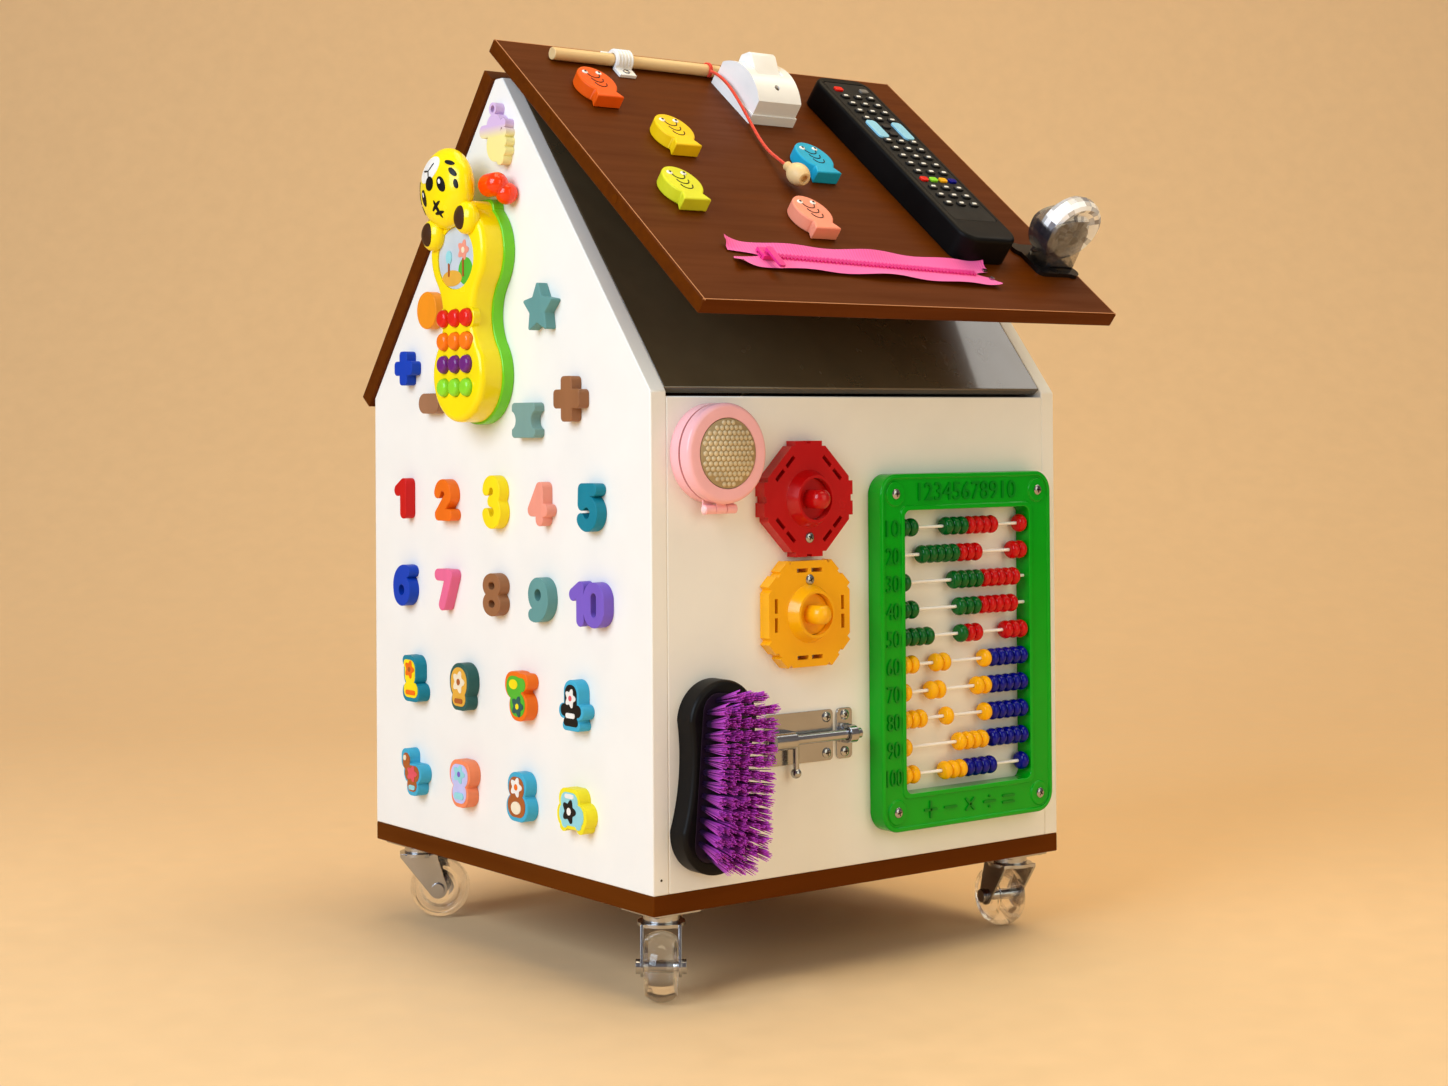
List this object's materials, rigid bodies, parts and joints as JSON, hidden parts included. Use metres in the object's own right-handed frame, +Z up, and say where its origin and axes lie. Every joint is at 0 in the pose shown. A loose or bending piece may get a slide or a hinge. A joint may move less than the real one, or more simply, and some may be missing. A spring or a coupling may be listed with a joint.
{
  "type": "activity house",
  "caption": "Child's busy-board house on casters: white board walls with numbers, toy phone, abacus, bolt, knobs and brushes, and a hinged brown roof lid with fish, remote, switch and zipper.",
  "frame": {"origin": "on the floor under the middle of the house", "axes": "+Z up, +X along the ridge away from the number gable, the abacus wall faces -Y"},
  "size_m": [0.3991, 0.4069, 0.6122],
  "materials": {
    "white_board": "white laminated board",
    "brown_board": "brown woodgrain laminated board",
    "dark_board": "black drawing board film",
    "steel": "plated steel",
    "clear": "clear wheel plastic",
    "mixed_paint": "painted in several colours",
    "yellow": "yellow plastic",
    "green": "green plastic",
    "red": "red plastic",
    "orange": "orange plastic",
    "purple": "purple plastic",
    "lime": "lime plastic",
    "pink": "pink plastic",
    "beads": "beads in four colours",
    "black": "black plastic",
    "bristle": "purple nylon bristle",
    "white": "white plastic",
    "light_wood": "bare turned wood",
    "cord": "braided red cord",
    "tape": "woven pink tape",
    "keys": "rubber key sheet"
  },
  "bodies": {
    "house": {"base_plate": "brown_board", "gable_left": "white_board", "gable_right": "white_board", "front_wall": "white_board", "rear_wall": "white_board", "rear_roof_panel": "brown_board", "slope_board": "dark_board", "caster_plates": "steel", "number_blocks": "mixed_paint", "wall_blocks": "mixed_paint", "phone_back_shell": "green", "phone_front_shell": "yellow", "compact_base": "pink", "knob_plates": "red", "abacus_frame": "green", "abacus_wires": "steel", "parked_beads": "beads", "bolt_plate": "steel", "brush_handle": "black", "brush_bristles": "bristle"},
    "lid": {"lid_panel": "brown_board", "switch_box": "white", "remote_shell": "black", "fish_blocks": "mixed_paint", "rod_clip": "white", "zipper_tape": "tape", "spinner_bracket": "black"},
    "compact_top": {"compact_lid": "pink"},
    "red_twist": {"red_knob": "red"},
    "yellow_twist": {"yellow_knob": "yellow"},
    "bolt": {"bolt_rod": "steel"},
    "rocker": {"switch_rocker": "white"},
    "keypad": {"remote_keypad": "keys"},
    "rod": {"fishing_rod": "light_wood", "fishing_cord": "cord", "fishing_bead": "light_wood"},
    "zip": {"zipper_slider": "steel"},
    "spinner": {"spinner_wheel": "clear"},
    "keys_red": {"phone_keys_red": "red"},
    "keys_orange": {"phone_keys_orange": "orange"},
    "keys_purple": {"phone_keys_purple": "purple"},
    "keys_green": {"phone_keys_green": "lime"},
    "beads_row_01": {"beads_row_01": "beads"},
    "beads_row_02": {"beads_row_02": "beads"},
    "beads_row_03": {"beads_row_03": "beads"},
    "beads_row_04": {"beads_row_04": "beads"},
    "beads_row_05": {"beads_row_05": "beads"},
    "beads_row_06": {"beads_row_06": "beads"},
    "beads_row_07": {"beads_row_07": "beads"},
    "beads_row_08": {"beads_row_08": "beads"},
    "beads_row_09": {"beads_row_09": "beads"},
    "beads_row_10": {"beads_row_10": "beads"},
    "fork_near": {"caster_fork_near": "steel"},
    "wheel_near": {"caster_wheel_near": "clear"},
    "fork_left": {"caster_fork_left": "steel"},
    "wheel_left": {"caster_wheel_left": "clear"},
    "fork_right": {"caster_fork_right": "steel"},
    "wheel_right": {"caster_wheel_right": "clear"},
    "fork_rear": {"caster_fork_rear": "steel"},
    "wheel_rear": {"caster_wheel_rear": "clear"}
  },
  "joints": [
    {"name": "lid_hinge", "type": "hinge", "parent": "house", "child": "lid", "pos_m": [0, 0.01211, 0.607], "axis": [-1, 0, 0], "range_deg": [-12.96, 95]},
    {"name": "compact_hinge", "type": "hinge", "parent": "house", "child": "compact_top", "pos_m": [-0.1295, -0.1772, 0.30095], "axis": [1, 0, 0], "range_deg": [0, 120]},
    {"name": "red_knob_turn", "type": "hinge", "parent": "house", "child": "red_twist", "pos_m": [-0.05688, -0.168, 0.30557], "axis": [0, -1, 0], "continuous": true},
    {"name": "yellow_knob_turn", "type": "hinge", "parent": "house", "child": "yellow_twist", "pos_m": [-0.05688, -0.168, 0.23287], "axis": [0, -1, 0], "continuous": true},
    {"name": "bolt_slide", "type": "slide", "parent": "house", "child": "bolt", "axis": [1, 0, 0], "range_m": [-0.014, 0]},
    {"name": "press_keys_red", "type": "slide", "parent": "house", "child": "keys_red", "axis": [1, 0, 0], "range_m": [0, 0.0015], "stiffness_N_per_m": 800},
    {"name": "press_keys_orange", "type": "slide", "parent": "house", "child": "keys_orange", "axis": [1, 0, 0], "range_m": [0, 0.0015], "stiffness_N_per_m": 800},
    {"name": "press_keys_purple", "type": "slide", "parent": "house", "child": "keys_purple", "axis": [1, 0, 0], "range_m": [0, 0.0015], "stiffness_N_per_m": 800},
    {"name": "press_keys_green", "type": "slide", "parent": "house", "child": "keys_green", "axis": [1, 0, 0], "range_m": [0, 0.0015], "stiffness_N_per_m": 800},
    {"name": "slide_beads_row_01", "type": "slide", "parent": "house", "child": "beads_row_01", "axis": [1, 0, 0], "range_m": [-0.02505, 0.02045]},
    {"name": "slide_beads_row_02", "type": "slide", "parent": "house", "child": "beads_row_02", "axis": [1, 0, 0], "range_m": [-0.017, 0.0285]},
    {"name": "slide_beads_row_03", "type": "slide", "parent": "house", "child": "beads_row_03", "axis": [1, 0, 0], "range_m": [-0.03885, 0.00665]},
    {"name": "slide_beads_row_04", "type": "slide", "parent": "house", "child": "beads_row_04", "axis": [1, 0, 0], "range_m": [-0.03655, 0.00895]},
    {"name": "slide_beads_row_05", "type": "slide", "parent": "house", "child": "beads_row_05", "axis": [1, 0, 0], "range_m": [-0.0239, 0.0216]},
    {"name": "slide_beads_row_06", "type": "slide", "parent": "house", "child": "beads_row_06", "axis": [1, 0, 0], "range_m": [-0.0147, 0.0308]},
    {"name": "slide_beads_row_07", "type": "slide", "parent": "house", "child": "beads_row_07", "axis": [1, 0, 0], "range_m": [-0.017, 0.0285]},
    {"name": "slide_beads_row_08", "type": "slide", "parent": "house", "child": "beads_row_08", "axis": [1, 0, 0], "range_m": [-0.017, 0.0285]},
    {"name": "slide_beads_row_09", "type": "slide", "parent": "house", "child": "beads_row_09", "axis": [1, 0, 0], "range_m": [-0.0423, 0.0032]},
    {"name": "slide_beads_row_10", "type": "slide", "parent": "house", "child": "beads_row_10", "axis": [1, 0, 0], "range_m": [-0.02218, 0.02332]},
    {"name": "swivel_near", "type": "hinge", "parent": "house", "child": "fork_near", "pos_m": [-0.152, -0.145, 0.055], "axis": [0, 0, 1], "continuous": true},
    {"name": "roll_near", "type": "hinge", "parent": "fork_near", "child": "wheel_near", "pos_m": [-0.16062, -0.15603, 0.0215], "axis": [0.788, -0.6157, 0], "continuous": true},
    {"name": "swivel_left", "type": "hinge", "parent": "house", "child": "fork_left", "pos_m": [-0.152, 0.145, 0.055], "axis": [0, 0, 1], "continuous": true},
    {"name": "roll_left", "type": "hinge", "parent": "fork_left", "child": "wheel_left", "pos_m": [-0.14106, 0.13627, 0.0215], "axis": [0.6239, 0.7815, 0], "continuous": true},
    {"name": "swivel_right", "type": "hinge", "parent": "house", "child": "fork_right", "pos_m": [0.152, -0.145, 0.055], "axis": [0, 0, 1], "continuous": true},
    {"name": "roll_right", "type": "hinge", "parent": "fork_right", "child": "wheel_right", "pos_m": [0.15539, -0.13142, 0.0215], "axis": [-0.9703, 0.2419, 0], "continuous": true},
    {"name": "swivel_rear", "type": "hinge", "parent": "house", "child": "fork_rear", "pos_m": [0.152, 0.145, 0.055], "axis": [0, 0, 1], "continuous": true},
    {"name": "roll_rear", "type": "hinge", "parent": "fork_rear", "child": "wheel_rear", "pos_m": [0.16412, 0.152, 0.0215], "axis": [-0.5, 0.866, 0], "continuous": true},
    {"name": "rocker_tilt", "type": "hinge", "parent": "lid", "child": "rocker", "pos_m": [0.00997, -0.04896, 0.6003], "axis": [1, 0, 0], "range_deg": [-4, 4]},
    {"name": "keypad_press", "type": "slide", "parent": "lid", "child": "keypad", "axis": [0, 0.6334, -0.7738], "range_m": [0, 0.0006], "stiffness_N_per_m": 1500},
    {"name": "rod_pull", "type": "slide", "parent": "lid", "child": "rod", "axis": [-1, 0, 0], "range_m": [0, 0.05]},
    {"name": "zip_run", "type": "slide", "parent": "lid", "child": "zip", "axis": [0.9987, -0.0392, -0.032], "range_m": [0, 0.1775]},
    {"name": "spinner_spin", "type": "hinge", "parent": "lid", "child": "spinner", "pos_m": [0.16, -0.19848, 0.48632], "axis": [0, 0.7738, 0.6334], "continuous": true}
  ]
}
